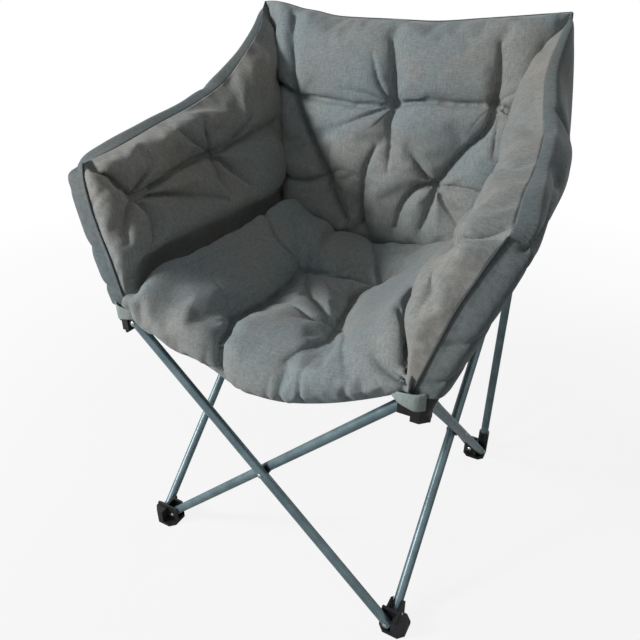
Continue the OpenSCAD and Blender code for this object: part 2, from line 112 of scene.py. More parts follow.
def woven_cloth(name, turn, dark, light, cool, warm, yarn_mm=1.7, relief_mm=0.25, sheen=0.15):
    """Plain-woven melange polyester. Two-tone yarns in both directions give the fine heathered grain,
    and slow tints give its cool and warm areas, 125 mm across.
    The real yarns are 0.5 mm apart, too fine to show, so yarn_mm draws them coarser."""
    # a yarn's shade changes slowly along it, and the tints show through the heather
    slub, tint_share = 0.16, 0.4
    made, tree, shader = new_material(name, Roughness=0.92, Sheen_Weight=sheen, Sheen_Roughness=0.5,
                                      Specular_IOR_Level=0.2)
    place = add(tree, "ShaderNodeTexCoord").outputs["Object"]
    weave = add(tree, "ShaderNodeMapping", {"Vector": place}, {"Rotation": (0, 0, turn)}).outputs["Vector"]
    yarns = []
    for stretch in ((slub, 1, 1), (1, slub, slub)):
        scaled = add(tree, "ShaderNodeMapping", {"Vector": weave}, {"Scale": stretch}).outputs["Vector"]
        yarns.append(add(tree, "ShaderNodeTexNoise", {"Vector": scaled},
                         {"Scale": pattern_scale(yarn_mm), "Detail": 2, "Roughness": 0.5}).outputs["Fac"])
    grain = add(tree, "ShaderNodeMath", {0: yarns[0], 1: yarns[1]}, operation="ADD").outputs["Value"]
    spread = add(tree, "ShaderNodeMapRange", {"Value": grain},
                 {"From Min": 0.7, "From Max": 1.3}).outputs["Result"]
    heather = two_tones(tree, spread, (0.0, dark), (1.0, light))
    patches = add(tree, "ShaderNodeTexNoise", {"Vector": place},
                  {"Scale": pattern_scale(125), "Detail": 5, "Roughness": 0.55,
                   "Distortion": 0.3}).outputs["Fac"]
    tint = two_tones(tree, patches, (0.36, cool), (0.64, warm))
    mixed = add(tree, "ShaderNodeMix", {6: heather, 7: tint}, {0: tint_share}, data_type="RGBA")
    tree.links.new(mixed.outputs[2], shader.inputs["Base Color"])
    relief = add(tree, "ShaderNodeBump", {"Height": spread}, {"Strength": 0.5, "Distance": relief_mm * MM})
    tree.links.new(relief.outputs["Normal"], shader.inputs["Normal"])
    return made


def powder_coated_steel(name, colour, fleck):
    """Steel tube with a satin powder coat. Fine orange peel softens its reflections, and cloudy flecks
    keep its blue grey from looking flat."""
    peel_mm, fleck_mm = 1.43, 28.6
    made, tree, shader = new_material(name, Roughness=0.38, Metallic=0.25, Coat_Weight=0.15,
                                      Coat_Roughness=0.3)
    place = add(tree, "ShaderNodeTexCoord").outputs["Object"]
    peel = add(tree, "ShaderNodeTexNoise", {"Vector": place},
               {"Scale": pattern_scale(peel_mm), "Detail": 2}).outputs["Fac"]
    wear = add(tree, "ShaderNodeTexNoise", {"Vector": place},
               {"Scale": pattern_scale(fleck_mm), "Detail": 5}).outputs["Fac"]
    tree.links.new(two_tones(tree, wear, (0.35, colour), (0.7, fleck)), shader.inputs["Base Color"])
    relief = add(tree, "ShaderNodeBump", {"Height": peel}, {"Strength": 0.25, "Distance": 0.08 * MM})
    tree.links.new(relief.outputs["Normal"], shader.inputs["Normal"])
    return made


def moulded_nylon(name, colour, worn):
    """Black glass-filled nylon with a fine spark-eroded grain. It looks soft and slightly dusty."""
    grain_mm, dust_mm = 0.71, 16.7
    made, tree, shader = new_material(name, Roughness=0.48, Specular_IOR_Level=0.45)
    place = add(tree, "ShaderNodeTexCoord").outputs["Object"]
    grain = add(tree, "ShaderNodeTexNoise", {"Vector": place},
                {"Scale": pattern_scale(grain_mm), "Detail": 3}).outputs["Fac"]
    dust = add(tree, "ShaderNodeTexNoise", {"Vector": place},
               {"Scale": pattern_scale(dust_mm), "Detail": 5}).outputs["Fac"]
    tree.links.new(two_tones(tree, dust, (0.4, colour), (0.8, worn)), shader.inputs["Base Color"])
    relief = add(tree, "ShaderNodeBump", {"Height": grain}, {"Strength": 0.4, "Distance": 0.1 * MM})
    tree.links.new(relief.outputs["Normal"], shader.inputs["Normal"])
    return made


def zinc_plated_steel(name, bright, dull):
    """Zinc-plated rivet steel. Its heads are bright, with a faintly clouded surface."""
    cloud_mm = 3.85
    made, tree, shader = new_material(name, Metallic=1.0, Roughness=0.32)
    place = add(tree, "ShaderNodeTexCoord").outputs["Object"]
    cloud = add(tree, "ShaderNodeTexNoise", {"Vector": place},
                {"Scale": pattern_scale(cloud_mm), "Detail": 4}).outputs["Fac"]
    tree.links.new(two_tones(tree, cloud, (0.35, dull), (0.65, bright)), shader.inputs["Base Color"])
    return made


pad_cloth = woven_cloth("woven_melange_polyester_back_and_seat", 0,
                        "#727b7e", "#a1a8a8", "#7f8e93", "#989289")
arm_cloth = woven_cloth("woven_melange_polyester_arms", math.radians(90),
                        "#767a79", "#a4a6a2", "#868f90", "#9e958c")
shell_cloth = woven_cloth("woven_oxford_polyester_shell", math.radians(90),
                          "#525c5f", "#7a8384", "#5f7077", "#74716b")
back_shell_cloth = woven_cloth("woven_oxford_polyester_back_shell", 0,
                               "#525c5f", "#7a8384", "#5f7077", "#74716b")
sling_cloth = woven_cloth("woven_black_sling", 0, "#17191a", "#2b2f30", "#24292b", "#2c2b2a", 1.8, 0.4, 0.1)
piping_cloth = woven_cloth("piping_cord_cover", 0, "#3c4446", "#565f60", "#46545a", "#54534f", 1.0, 0.3)
webbing = woven_cloth("polyester_webbing", 0, "#84938f", "#a9b5b0", "#8ea39e", "#9aa19a", 2.0, 0.5)
tube_coat = powder_coated_steel("powder_coated_steel_tube", "#5d747b", "#748b92")
black_nylon = moulded_nylon("moulded_black_nylon", "#0f0f11", "#232326")
rivet_steel = zinc_plated_steel("zinc_plated_rivet_steel", "#c9cccd", "#9fa5a6")

FINISHES = {"tubes": tube_coat, "plastic": black_nylon, "rivets": rivet_steel,
            "padding": pad_cloth, "outer_cloth": shell_cloth, "strap": webbing}
slot_of = {part["node"]: part["material_slot"] for part in frame["record"]["subparts"]}
for name, solid in frame["nodes"].items():
    finish = FINISHES[slot_of[name]]
    if solid.material_slots:
        for place in solid.material_slots:
            place.material = finish
    else:
        solid.data.materials.append(finish)


# Shapes
def through(knots, values, at):
    """A smooth curve through values at knots, read at the places in at."""
    knots, values = np.array(knots, float), np.array(values, float)
    slopes = np.gradient(values, knots, axis=0)
    k = np.clip(np.searchsorted(knots, at, side="right") - 1, 0, len(knots) - 2)
    span = knots[k + 1] - knots[k]
    shape = (-1,) + (1,) * (values.ndim - 1)
    t = ((at - knots[k]) / span).reshape(shape)
    span = span.reshape(shape)
    return ((1 + 2 * t) * (1 - t) ** 2 * values[k] + t * (1 - t) ** 2 * span * slopes[k]
            + t * t * (3 - 2 * t) * values[k + 1] + t * t * (t - 1) * span * slopes[k + 1])


def run_of(line):
    """Running length at each point of a line."""
    return np.concatenate([[0], np.cumsum(np.linalg.norm(np.diff(line, axis=0), axis=1))])


def lengths_along(points, axis):
    """Mean running length of a net of points along one axis."""
    steps = np.linalg.norm(np.diff(points, axis=axis), axis=2).mean(axis=1 - axis)
    return np.concatenate([[0], np.cumsum(steps)])


# Soft corners and bumps of this chair: where, how far the cloth is drawn there and how wide, in millimetres
DRAWN = [
    # the back's left top corner and the edge next to it, then its middle
    ((-276, 252, 899), (-14, 0, 13), 42), ((-235, 252, 897), (0, 0, 8), 38),
    ((-180, 252, 892), (0, 0, 5), 30), ((60, 252, 884), (0, 0, -3), 60),
    # two bumps and a dip along the top of the right arm
    ((330, -10, 742), (-2, 0, 8), 34), ((338, -140, 705), (-2, -2, 6), 28),
    ((338, -75, 716), (-4, 0, -8), 22)]


def drawn(net):
    """Moves a net's points where the cloth is drawn out into a corner or a bump."""
    shift = np.zeros_like(net)
    for place, by, reach in DRAWN:
        away = np.linalg.norm(net - np.array(place) * MM, axis=2) / (reach * MM)
        shift += np.exp(-away ** 2)[..., None] * np.array(by) * MM
    return net + shift


def fine_net(places_mm, pitch_mm):
    """A net of points, about pitch_mm apart, through a few given rows of points in millimetres.
    Its numbers of steps are multiples of 4, so that every eighth point of the denser net makes its back."""
    net = np.array(places_mm, float) * MM
    for axis in (0, 1):
        run = lengths_along(net, axis)
        count = 4 * max(1, round(run[-1] / (pitch_mm * MM) / 4))
        net = through(run, np.swapaxes(net, 0, axis), np.linspace(0, run[-1], count + 1))
        net = np.swapaxes(net, 0, axis)
    return drawn(net)


def normals_of(net):
    """Unit normals of a net whose columns run to the right and rows run up, towards the viewer."""
    across, up = np.gradient(net, axis=1), np.gradient(net, axis=0)
    normal = np.cross(across, up)
    return normal / np.maximum(np.linalg.norm(normal, axis=2, keepdims=True), 1e-9)


def denser(net):
    """The same net with one more row and column between each two."""
    for _ in range(2):
        at = np.arange(2 * len(net) - 1) / 2
        net = np.swapaxes(through(np.arange(len(net)), net, at), 0, 1)
    return net


def plan_of(net):
    """Place of each point of a net on its unrolled cloth, in metres, and the cloth's width and length."""
    across, up = lengths_along(net, 1), lengths_along(net, 0)
    plan = np.stack(np.meshgrid(across, up), axis=2)
    return plan, np.array([across[-1], up[-1]])


def mesh_piece(name, points, faces, material):
    """A smooth-shaded piece from its points and faces."""
    mesh = bpy.data.meshes.new(name)
    mesh.from_pydata([tuple(p) for p in points], [], faces)
    mesh.validate()
    for face in mesh.polygons:
        face.use_smooth = True
    mesh.materials.append(material)
    made = bpy.data.objects.new(name, mesh)
    bpy.context.scene.collection.objects.link(made)
    return made


def net_faces(rows, cols, first=0, flip=False):
    """The four-sided faces of a net whose points are numbered from first."""
    faces = []
    for r in range(rows - 1):
        for c in range(cols - 1):
            k = first + r * cols + c
            faces.append((k, k + 1, k + cols + 1, k + cols)[::-1 if flip else 1])
    return faces


def creased(net, creases, hem_mm=12, pinch=0.0, edge=2.4):
    """Presses sewn-in creases into the cover, sharp at the bottom and round at the shoulders.
    A crease is its places as shares of the cover's width and length, its depth in mm at the first and the
    last one, and its half width in mm. They fade out over the last hem_mm before the cover's edges, which
    stay on their seams. The share pinch draws the cloth on both sides of a crease together over its bottom,
    and a low edge gives it straighter walls."""
    stops = 40
    # Where creases meet, the deepest one counts almost alone
    most = 4
    plan, size = plan_of(net)
    across, up = plan[0, :, 0], plan[:, 0, 1]
    total = np.zeros(net.shape[:2])
    drawn_in = np.zeros(plan.shape)
    nearest = np.zeros(net.shape[:2])
    for places, first, last, width in creases:
        line = np.array(places, float) * size
        run = run_of(line)
        at = np.linspace(0, run[-1], stops)
        path = np.stack([through(run, line[:, k], at) for k in (0, 1)], axis=1)
        low, high = path.min(axis=0) - width * MM, path.max(axis=0) + width * MM
        part = np.ix_((up >= low[1]) & (up <= high[1]), (across >= low[0]) & (across <= high[0]))
        if not total[part].size:
            continue
        gap = np.linalg.norm(plan[part][:, :, None, :] - path[None, None], axis=3)
        along = gap.argmin(axis=2) / (stops - 1)
        shoulder = np.clip(1 - gap.min(axis=2) / (width * MM), 0, 1)
        total[part] += ((first + (last - first) * along) * MM * shoulder ** edge) ** most
        if pinch:
            closer = shoulder > nearest[part]
            pull = (path[gap.argmin(axis=2)] - plan[part]) * (pinch * shoulder)[..., None]
            drawn_in[part] = np.where(closer[..., None], pull, drawn_in[part])
            nearest[part] = np.maximum(shoulder, nearest[part])
    rim = np.minimum(np.minimum(plan, size - plan).min(axis=2) / (hem_mm * MM), 1)[..., None]
    moved = net - normals_of(net) * total[..., None] ** (1 / most) * rim
    if pinch:
        for axis, way in ((0, np.gradient(net, axis=1)), (1, np.gradient(net, axis=0))):
            way /= np.maximum(np.linalg.norm(way, axis=2, keepdims=True), 1e-9)
            moved += way * drawn_in[..., axis:axis + 1] * rim
    return moved


def crisp(creases):
    """The same creases, narrower and shallower, for the sharp line at the bottom of each."""
    extra_mm, depth_share, width_share, least_mm = 3, 0.5, 0.2, 8
    return [(places, extra_mm + depth_share * first, depth_share * last, max(least_mm, width_share * width))
            for places, first, last, width in creases]


def wrinkled(net, creases, hem_mm=12):
    """Fine creases with steep walls, whose cloth is drawn together over their bottoms."""
    return creased(net, creases, hem_mm, pinch=0.55, edge=1.6)


def set_back(creases, tufts, deep_mm, lean):
    """Moves creases and tufts along the cover by their depth times lean, so that their bottoms, not their
    shoulders, lie where the photograph shows its dark lines. Near the cover's edges they stay."""
    def moved(place, depth):
        """In the outer sixth of the cover the move fades to nothing."""
        u, v = place
        free = min(1, 6 * min(u, 1 - u), 6 * min(v, 1 - v))
        depth = deep_mm if place in tufts else depth
        return (u + lean[0] * depth * free, v + lean[1] * depth * free)
    lines = [([moved(place, depth) for place, depth in zip(places, np.linspace(first, last, len(places)))],
              first, last, width) for places, first, last, width in creases]
    return lines, [moved(tuft, deep_mm) for tuft in tufts]


def gathers(net, tufts, seed, count=9):
    """Small wrinkles that fan out from each tuft, as creases that bend away from it."""
    pick = np.random.default_rng(seed)
    size = plan_of(net)[1] / MM
    made = []
    for tuft in tufts:
        turns = (np.arange(count) + pick.uniform(-0.3, 0.3, count)) * 2 * math.pi / count
        reaches, bends = pick.uniform(30, 85, count), pick.uniform(-0.35, 0.35, count)
        for turn, reach, bend in zip(turns, reaches, bends):
            ends = [(0.12 * reach, turn), (0.55 * reach, turn + 0.4 * bend), (reach, turn + bend)]
            line = [(tuft[0] + r * math.cos(t) / size[0], tuft[1] + r * math.sin(t) / size[1])
                    for r, t in ends]
            deep_mm, end_mm, half_width_mm = pick.uniform(2.5, 5), 0.4, pick.uniform(8, 13)
            made.append((line, deep_mm, end_mm, half_width_mm))
    return made


def sewn_to(net, seam_mm):
    """Draws a net's top row onto a seam line, so that two pieces meet there. The rows below it follow
    less and less, over 45 mm."""
    reach_mm = 45
    seam = np.array(seam_mm, float) * MM
    run = run_of(seam)
    own = run_of(net[-1])
    shift = drawn(through(run, seam, own / own[-1] * run[-1])[None])[0] - net[-1]
    away = lengths_along(net[::-1], 0)[::-1]
    hold = np.clip(1 - away / (reach_mm * MM), 0, 1) ** 2
    return net + hold[:, None, None] * shift[None]


def billow(net, tufts, creases, cap_mm):
    """Lets the cover settle as cloth over its filling: sewn down at its edge, its tufts and its deep creases,
    pushed out from behind, and cut larger than its frame by the share ease, which gives its wrinkles. No
    point moves further than about cap_mm."""
    pressure, ease, frames = 4.0, 0.04, 22
    sewn_from_mm, stops, part_sewn = 16, 40, 22
    plan, size = plan_of(net)
    rows, cols = net.shape[:2]
    sewn = np.zeros((rows, cols))
    sewn[0] = sewn[-1] = 1
    sewn[:, 0] = sewn[:, -1] = 1
    spots = list(tufts)
    for places, first, last, _ in creases:
        if first >= sewn_from_mm:
            line = np.array(places, float)
            path = through(np.arange(len(line)), line, np.linspace(0, len(line) - 1, stops))
            # a crease that runs out is sewn down over its first half only
            spots += list(path[:stops if last >= sewn_from_mm else part_sewn])
    for spot in spots:
        away = np.linalg.norm(plan - np.array(spot) * size, axis=2)
        sewn[np.unravel_index(np.argmin(away), away.shape)] = 1
    cover = mesh_piece("cover", net.reshape(-1, 3), net_faces(rows, cols), pad_cloth)
    group = cover.vertex_groups.new(name="sewn")
    group.add([int(k) for k in np.flatnonzero(sewn.ravel())], 1.0, "REPLACE")
    cloth = cover.modifiers.new("cloth", "CLOTH")
    cloth.settings.vertex_group_mass = "sewn"
    cloth.settings.quality = 6
    cloth.settings.mass = 0.25
    cloth.settings.tension_stiffness = cloth.settings.compression_stiffness = 18
    cloth.settings.shear_stiffness = 6
    cloth.settings.bending_stiffness = 2.5
    cloth.settings.use_pressure = True
    cloth.settings.uniform_pressure_force = pressure
    cloth.settings.shrink_min = -ease
    cloth.settings.effector_weights.gravity = 0
    cloth.collision_settings.use_collision = False
    cloth.point_cache.frame_end = frames
    for step in range(1, frames + 1):
        bpy.context.scene.frame_set(step)
    settled = cover.evaluated_get(bpy.context.evaluated_depsgraph_get()).to_mesh()
    moved = np.empty(rows * cols * 3)
    settled.vertices.foreach_get("co", moved)
    bpy.context.scene.frame_set(1)
    bpy.data.objects.remove(cover)
    shift = moved.reshape(net.shape) - net
    for _ in range(2):
        around = (shift[:-2, 1:-1] + shift[2:, 1:-1] + shift[1:-1, :-2] + shift[1:-1, 2:]) / 4
        shift[1:-1, 1:-1] = shift[1:-1, 1:-1] * 0.4 + around * 0.6
    far = np.linalg.norm(shift, axis=2, keepdims=True)
    cap = cap_mm * MM
    return net + shift * np.minimum(1, cap / np.maximum(far, 1e-9) * np.tanh(far / cap))


def padded_piece(name, face, back, material):
    """Closes a face net with its walls and a plain back, whose net has an eighth of the face's steps."""
    rows, cols = face.shape[:2]
    back_rows, back_cols = back.shape[:2]
    points = list(face.reshape(-1, 3))
    faces = net_faces(rows, cols)
    first = len(points)
    points += list(back.reshape(-1, 3))
    faces += net_faces(back_rows, back_cols, first, flip=True)

    def wall(front_line, back_line):
        """Joins one edge of the face to the back's coarser edge."""
        step = (len(front_line) - 1) // (len(back_line) - 1)
        for k in range(len(back_line) - 1):
            fine = front_line[k * step:(k + 1) * step + 1]
            faces.append(tuple(fine[::-1]) + (back_line[k], back_line[k + 1]))

    front_at = np.arange(rows * cols).reshape(rows, cols)
    back_at = first + np.arange(back_rows * back_cols).reshape(back_rows, back_cols)
    wall(list(front_at[0]), list(back_at[0]))
    wall(list(front_at[:, -1]), list(back_at[:, -1]))
    wall(list(front_at[-1][::-1]), list(back_at[-1][::-1]))
    wall(list(front_at[:, 0][::-1]), list(back_at[:, 0][::-1]))
    return mesh_piece(name, points, faces, material)


def thick_sheet(name, net, thick_mm, material):
    """A sheet of cloth with its thickness, from a net on its outer face."""
    rows, cols = net.shape[:2]
    inner = net - normals_of(net) * thick_mm * MM
    points = np.concatenate([net.reshape(-1, 3), inner.reshape(-1, 3)])
    n = rows * cols
    faces = net_faces(rows, cols) + net_faces(rows, cols, n, flip=True)
    at = np.arange(n).reshape(rows, cols)
    for edge in (at[0], at[:, -1], at[-1][::-1], at[:, 0][::-1]):
        for a, b in zip(edge[:-1], edge[1:]):
            faces.append((b, a, a + n, b + n))
    return mesh_piece(name, points, faces, material)


def cord_line(name, line, radius_mm, material):
    """A piping cord sewn along a line of points."""
    sides = 6
    # no seam of this cover runs along this direction
    off_seams = (0.31, 0.2, 0.93)
    along = np.gradient(line, axis=0)
    along /= np.maximum(np.linalg.norm(along, axis=1, keepdims=True), 1e-9)
    side = np.cross(along, off_seams)
    side /= np.linalg.norm(side, axis=1, keepdims=True)
    up = np.cross(side, along)
    points, faces = [], []
    for k, p in enumerate(line):
        for s in range(sides):
            a = 2 * math.pi * s / sides
            points.append(p + radius_mm * MM * (side[k] * math.cos(a) + up[k] * math.sin(a)))
    for k in range(len(line) - 1):
        for s in range(sides):
            a, b = k * sides + s, k * sides + (s + 1) % sides
            faces.append((a, b, b + sides, a + sides))
    faces.append(tuple(range(sides))[::-1])
    faces.append(tuple(range((len(line) - 1) * sides, len(line) * sides)))
    return mesh_piece(name, points, faces, material)


# Spacing of the points on the cushions' faces, and on the plainer shells of the sides and of the back
FACE_PITCH_MM, SHELL_PITCH_MM, BACK_SHELL_PITCH_MM = 5, 9, 10

# Seat cushion: rows from the front hem over the roll to the seam at the back, in millimetres
seat_x = (-240, -222, -205, -160, -95, -30, 40, 100, 160, 205, 222, 240)
seat_rows = [
    # y, then a height for each place across
    (-256, (482, 460, 448, 430, 418, 394, 396, 414, 440, 464, 474, 480)),
    (-271, (492, 480, 470, 452, 438, 416, 418, 436, 460, 482, 490, 492)),
    (-262, (508, 512, 506, 488, 476, 464, 464, 474, 492, 508, 514, 512)),
    (-225, (508, 534, 540, 512, 488, 476, 476, 486, 512, 540, 536, 510)),
    (-160, (502, 536, 550, 520, 488, 474, 474, 486, 518, 550, 538, 504)),
    (-80, (502, 536, 553, 520, 486, 472, 472, 484, 518, 552, 538, 504)),
    (0, (504, 538, 554, 520, 484, 470, 470, 484, 518, 553, 540, 506)),
    (80, (506, 540, 556, 522, 486, 474, 474, 486, 518, 554, 542, 508)),
    (140, (508, 542, 557, 530, 500, 488, 488, 498, 526, 554, 542, 510)),
    (178, (506, 538, 546, 530, 508, 496, 496, 504, 524, 542, 538, 506)),
    (196, (480, 504, 506, 494, 476, 464, 464, 472, 490, 504, 504, 480)),
]
# The arms press the seat's sides in behind its front roll
seat_pressed = {240: 206, 222: 203, 205: 190}
ROLL_BACK_Y = -220


def seat_place(x, y, z):
    """A place of the seat's net, with its sides pressed in between the arms."""
    half = abs(x) if y < ROLL_BACK_Y else seat_pressed.get(abs(x), abs(x))
    return (math.copysign(half, x), y, z)


seat_net = fine_net([[seat_place(x, y, z) for x, z in zip(seat_x, heights)] for y, heights in seat_rows],
                    FACE_PITCH_MM)
seat_tufts = [(0.364, 0.587), (0.66, 0.605), (0.659, 0.298), (0.378, 0.165)]
seat_creases = [
    ([(0.364, 0.587), (0.387, 0.44), (0.398, 0.3), (0.378, 0.165)], 26, 26, 58),
    ([(0.378, 0.165), (0.398, 0.116), (0.39, 0.02)], 24, 14, 40),
    ([(0.66, 0.605), (0.61, 0.53), (0.632, 0.41), (0.659, 0.298)], 28, 26, 56),
    ([(0.659, 0.298), (0.672, 0.19), (0.602, 0.12)], 24, 5, 46),
    ([(0.364, 0.587), (0.45, 0.6), (0.534, 0.63), (0.66, 0.605)], 20, 20, 46),
    ([(0.364, 0.587), (0.25, 0.63), (0.092, 0.705)], 15, 5, 30),
    ([(0.364, 0.587), (0.43, 0.66), (0.511, 0.759)], 15, 4, 40),
    ([(0.66, 0.605), (0.59, 0.68), (0.523, 0.759)], 14, 4, 36),
    ([(0.66, 0.605), (0.61, 0.7), (0.557, 0.8), (0.489, 0.93)], 22, 6, 40),
    ([(0.511, 0.93), (0.55, 0.9), (0.585, 0.86)], 7, 3, 22),
    ([(0.364, 0.587), (0.47, 0.47), (0.647, 0.319)], 14, 9, 44),
    ([(0.659, 0.298), (0.56, 0.33), (0.47, 0.38)], 14, 3, 34),
    ([(0.974, 0.05), (0.94, 0.08), (0.87, 0.14)], 14, 3, 24),
    ([(0.965, 0.11), (0.935, 0.17), (0.905, 0.28)], 14, 3, 22),
    ([(0.05, 0.12), (0.052, 0.5), (0.055, 0.92)], 16, 16, 32),
    ([(0.95, 0.12), (0.948, 0.5), (0.945, 0.92)], 16, 16, 32),
    ([(0.08, 0.965), (0.5, 0.965), (0.92, 0.965)], 5, 5, 20),
    ([(0.35, 0.96), (0.33, 0.86), (0.34, 0.74)], 12, 3, 40),
    ([(0.66, 0.605), (0.75, 0.68), (0.86, 0.80)], 10, 2, 46),
    ([(0.659, 0.298), (0.74, 0.23), (0.80, 0.12)], 11, 3, 40),
]
seat_creases, seat_tufts = set_back(seat_creases, seat_tufts, 26, (-0.0015, 0.0042))
# Gathers of the front hem: place, lean, reach, depth and half width
hem_puckers = [([(u, 0.0), (u + lean, reach * 0.6), (u + 1.6 * lean, reach)], deep, 1, wide)
               for u, lean, reach, deep, wide in (
                   (0.13, 0.01, 0.10, 5, 30), (0.27, -0.01, 0.07, 4, 22), (0.33, 0.012, 0.09, 5, 16),
                   (0.46, 0.004, 0.05, 4, 14), (0.555, 0.01, 0.09, 6, 14), (0.6, 0.006, 0.13, 11, 18),
                   (0.672, 0.004, 0.17, 9, 13), (0.725, 0.0, 0.05, 4, 16), (0.81, 0.004, 0.09, 8, 15),
                   (0.87, -0.012, 0.12, 6, 24))]
hem_stitch = [([(0.06, 0.022), (0.5, 0.022), (0.94, 0.022)], 1.6, 1.6, 4)]
seat_face = creased(seat_net, seat_creases)
seat_face = billow(seat_face, seat_tufts, seat_creases, 18)
seat_face = creased(denser(seat_face), hem_puckers, hem_mm=3)
seat_face = wrinkled(seat_face, crisp(seat_creases) + gathers(seat_net, seat_tufts, 11))
seat_face = creased(seat_face, hem_stitch, hem_mm=2)

# Back cushion: rows from behind the seat up to the seam behind its top edge, in millimetres
back_shares = (-1, -0.97, -0.86, -0.5, 0, 0.5, 0.86, 0.97, 1)
back_rows = [
    # half width, height at the sides and the middle, then y at the sides, near them and in the middle
    (240, 474, 474, 222, 206, 202),
    (243, 516, 512, 228, 190, 180),
    (246, 566, 562, 232, 189, 177),
    (252, 660, 656, 237, 196, 183),
    (262, 760, 754, 242, 202, 190),
    (270, 840, 828, 246, 212, 202),
    (275, 884, 868, 249, 226, 218),
    (277, 898, 885, 251, 242, 238),
    (277, 899, 885, 255, 256, 256),
]


def back_place(share, half, side_z, mid_z, side_y, near_y, mid_y):
    """A place of the back's net: on its side seam, on the round next to it, or on its bowed front."""
    bow = 1 - share * share
    y = near_y + (mid_y - near_y) * bow
    if abs(share) > 0.95:
        y = (side_y + near_y) / 2
    if abs(share) == 1:
        y = side_y
    return (share * half, y, side_z + (mid_z - side_z) * bow)


back_net = fine_net([[back_place(share, *row) for share in back_shares] for row in back_rows], FACE_PITCH_MM)
back_tufts = [(0.17, 0.63), (0.54, 0.63), (0.853, 0.655), (0.296, 0.305), (0.715, 0.33)]
back_creases = [
    ([(0.54, 0.63), (0.525, 0.74), (0.5, 0.875)], 22, 9, 46),
    ([(0.54, 0.63), (0.523, 0.55), (0.532, 0.46), (0.534, 0.371)], 20, 5, 42),
    ([(0.17, 0.63), (0.3, 0.625), (0.42, 0.62), (0.54, 0.63)], 14, 14, 52),
    ([(0.54, 0.63), (0.64, 0.65), (0.75, 0.65), (0.853, 0.655)], 15, 15, 50),
    ([(0.853, 0.655), (0.845, 0.75), (0.819, 0.86)], 20, 6, 44),
    ([(0.17, 0.63), (0.158, 0.753), (0.147, 0.94)], 22, 10, 40),
    ([(0.17, 0.63), (0.215, 0.5), (0.26, 0.39), (0.296, 0.305)], 22, 22, 48),
    ([(0.296, 0.305), (0.33, 0.22), (0.364, 0.13)], 22, 14, 44),
    ([(0.443, 0.1), (0.437, 0.25), (0.447, 0.36), (0.48, 0.46)], 22, 5, 46),
    ([(0.853, 0.655), (0.85, 0.575), (0.784, 0.467), (0.715, 0.33)], 19, 20, 44),
    ([(0.715, 0.33), (0.67, 0.36), (0.613, 0.439)], 22, 5, 38),
    ([(0.715, 0.33), (0.65, 0.31), (0.6, 0.235), (0.579, 0.136)], 22, 9, 38),
    ([(0.715, 0.33), (0.70, 0.25), (0.675, 0.15)], 20, 6, 34),
    ([(0.715, 0.33), (0.755, 0.25), (0.807, 0.177)], 18, 7, 36),
    ([(0.853, 0.655), (0.89, 0.63), (0.945, 0.6)], 18, 8, 32),
    ([(0.17, 0.63), (0.1, 0.65), (0.02, 0.66)], 20, 8, 36),
    ([(0.54, 0.63), (0.45, 0.585), (0.353, 0.53)], 12, 3, 34),
    ([(0.853, 0.655), (0.868, 0.56), (0.876, 0.46)], 14, 4, 34),
    ([(0.54, 0.63), (0.48, 0.70), (0.44, 0.82)], 11, 3, 32),
    ([(0.54, 0.63), (0.44, 0.665), (0.35, 0.68)], 10, 3, 30),
    ([(0.715, 0.33), (0.83, 0.33), (0.93, 0.3)], 12, 4, 40),
    ([(0.296, 0.305), (0.2, 0.27), (0.06, 0.27)], 14, 6, 44),
]
back_creases, back_tufts = set_back(back_creases, back_tufts, 22, (-0.0010, 0.0))
back_face = creased(back_net, back_creases)
back_face = billow(back_face, back_tufts, back_creases, 18)
back_face = wrinkled(denser(back_face), crisp(back_creases) + gathers(back_net, back_tufts, 23))

# Arm pads: columns from the front seam round the roll to the back, rows from the seat to the top seam,
# in millimetres and as distances from the middle of the chair. The left arm's front seam, side -1, sits
# further in than the right one's.
front_seam = {
    -1: [(236, -262, 482), (243, -264, 516), (255, -263, 562), (273, -260, 610), (286, -256, 646),
         (297, -249, 684), (304, -240, 702)],
    1: [(240, -263, 482), (251, -263, 515), (269, -260, 570), (283, -257, 612), (301, -252, 653),
        (315, -245, 684), (322, -237, 697)]}
arm_columns = [
    [(233, -257, 482), (236, -265, 522), (243, -268, 570), (258, -264, 614),
     (273, -258, 656), (288, -250, 692), (306, -238, 704)],
    [(233, -238, 483), (240, -242, 532), (225, -246, 574), (239, -243, 622),
     (258, -238, 668), (278, -233, 700), (307, -224, 707)],
    [(238, -195, 485), (255, -192, 545), (216, -192, 579), (231, -190, 632),
     (254, -188, 674), (280, -188, 706), (307, -188, 713)],
    [(238, -80, 485), (256, -80, 548), (213, -80, 582), (228, -80, 642),
     (248, -80, 694), (274, -80, 728), (304, -80, 735)],
    [(238, 50, 485), (256, 50, 549), (213, 50, 584), (225, 50, 654),
     (242, 50, 716), (262, 50, 757), (291, 55, 767)],
    [(238, 135, 485), (254, 137, 550), (215, 137, 586), (226, 140, 672),
     (236, 142, 752), (246, 145, 818), (268, 148, 840)],
    [(236, 190, 485), (247, 194, 552), (226, 194, 604), (235, 198, 678),
     (243, 205, 772), (252, 213, 852), (269, 222, 876)],
    [(240, 226, 485), (243, 229, 540), (245, 233, 600), (251, 238, 676),
     (260, 243, 770), (269, 248, 864), (277, 250, 899)],
]
arm_tufts = [(0.447, 0.675), (0.103, 0.67)]
